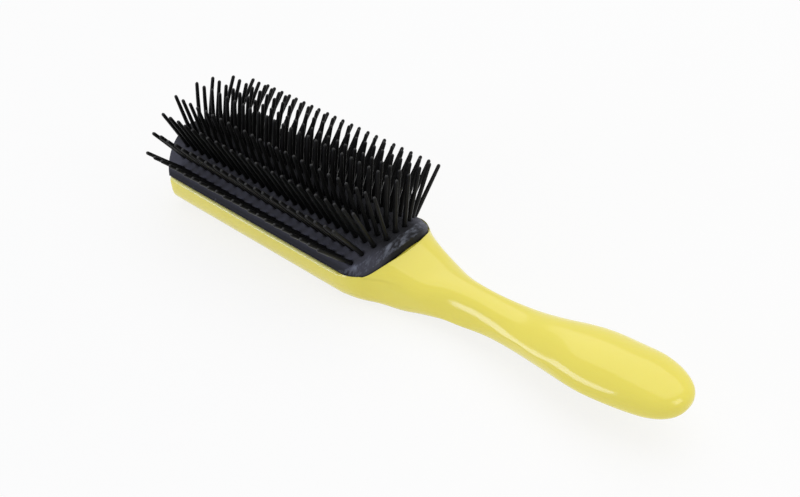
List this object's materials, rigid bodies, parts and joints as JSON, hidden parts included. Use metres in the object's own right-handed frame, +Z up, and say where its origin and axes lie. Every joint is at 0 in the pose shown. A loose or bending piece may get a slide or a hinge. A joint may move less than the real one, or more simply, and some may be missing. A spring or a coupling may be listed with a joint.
{
  "type": "hair styling brush",
  "caption": "Hair styling brush with a one-piece glossy handle, a slide-on arched rubber pad and rows of rounded nylon pins on strips that rock under the pad.",
  "frame": {"origin": "on the resting plane, below the middle of the brush's length and width", "axes": "+X from the head towards the end of the handle, +Z up through the pins"},
  "size_m": [0.226, 0.061, 0.0449],
  "materials": {
    "handle_plastic": "glossy pale yellow moulded plastic",
    "pad_rubber": "matt charcoal rubber",
    "pin_nylon": "satin black moulded nylon"
  },
  "bodies": {
    "handle": {"handle": "handle_plastic"},
    "pad": {"cushion_pad": "pad_rubber"},
    "row_1": {"pin_row_1": "pin_nylon"},
    "row_2": {"pin_row_2": "pin_nylon"},
    "row_3": {"pin_row_3": "pin_nylon"},
    "row_4": {"pin_row_4": "pin_nylon"},
    "row_5": {"pin_row_5": "pin_nylon"},
    "row_6": {"pin_row_6": "pin_nylon"},
    "row_7": {"pin_row_7": "pin_nylon"},
    "row_8": {"pin_row_8": "pin_nylon"},
    "row_9": {"pin_row_9": "pin_nylon"}
  },
  "joints": [
    {"name": "pad_slide", "type": "slide", "parent": "handle", "child": "pad", "axis": [-1, 0, 0], "range_m": [0, 0.118]},
    {"name": "row_1_rock", "type": "hinge", "parent": "pad", "child": "row_1", "pos_m": [-0.0542, -0.01542, 0.01703], "axis": [1, 0, 0], "range_deg": [-6, 6], "stiffness_Nm_per_rad": 0.05},
    {"name": "row_2_rock", "type": "hinge", "parent": "pad", "child": "row_2", "pos_m": [-0.0542, -0.0121, 0.0197], "axis": [1, 0, 0], "range_deg": [-6, 6], "stiffness_Nm_per_rad": 0.05},
    {"name": "row_3_rock", "type": "hinge", "parent": "pad", "child": "row_3", "pos_m": [-0.0542, -0.00832, 0.02167], "axis": [1, 0, 0], "range_deg": [-6, 6], "stiffness_Nm_per_rad": 0.05},
    {"name": "row_4_rock", "type": "hinge", "parent": "pad", "child": "row_4", "pos_m": [-0.0542, -0.00424, 0.02289], "axis": [1, 0, 0], "range_deg": [-6, 6], "stiffness_Nm_per_rad": 0.05},
    {"name": "row_5_rock", "type": "hinge", "parent": "pad", "child": "row_5", "pos_m": [-0.0542, 0, 0.0233], "axis": [1, 0, 0], "range_deg": [-6, 6], "stiffness_Nm_per_rad": 0.05},
    {"name": "row_6_rock", "type": "hinge", "parent": "pad", "child": "row_6", "pos_m": [-0.0542, 0.00424, 0.02289], "axis": [1, 0, 0], "range_deg": [-6, 6], "stiffness_Nm_per_rad": 0.05},
    {"name": "row_7_rock", "type": "hinge", "parent": "pad", "child": "row_7", "pos_m": [-0.0542, 0.00832, 0.02167], "axis": [1, 0, 0], "range_deg": [-6, 6], "stiffness_Nm_per_rad": 0.05},
    {"name": "row_8_rock", "type": "hinge", "parent": "pad", "child": "row_8", "pos_m": [-0.0542, 0.0121, 0.0197], "axis": [1, 0, 0], "range_deg": [-6, 6], "stiffness_Nm_per_rad": 0.05},
    {"name": "row_9_rock", "type": "hinge", "parent": "pad", "child": "row_9", "pos_m": [-0.0542, 0.01542, 0.01703], "axis": [1, 0, 0], "range_deg": [-6, 6], "stiffness_Nm_per_rad": 0.05}
  ]
}
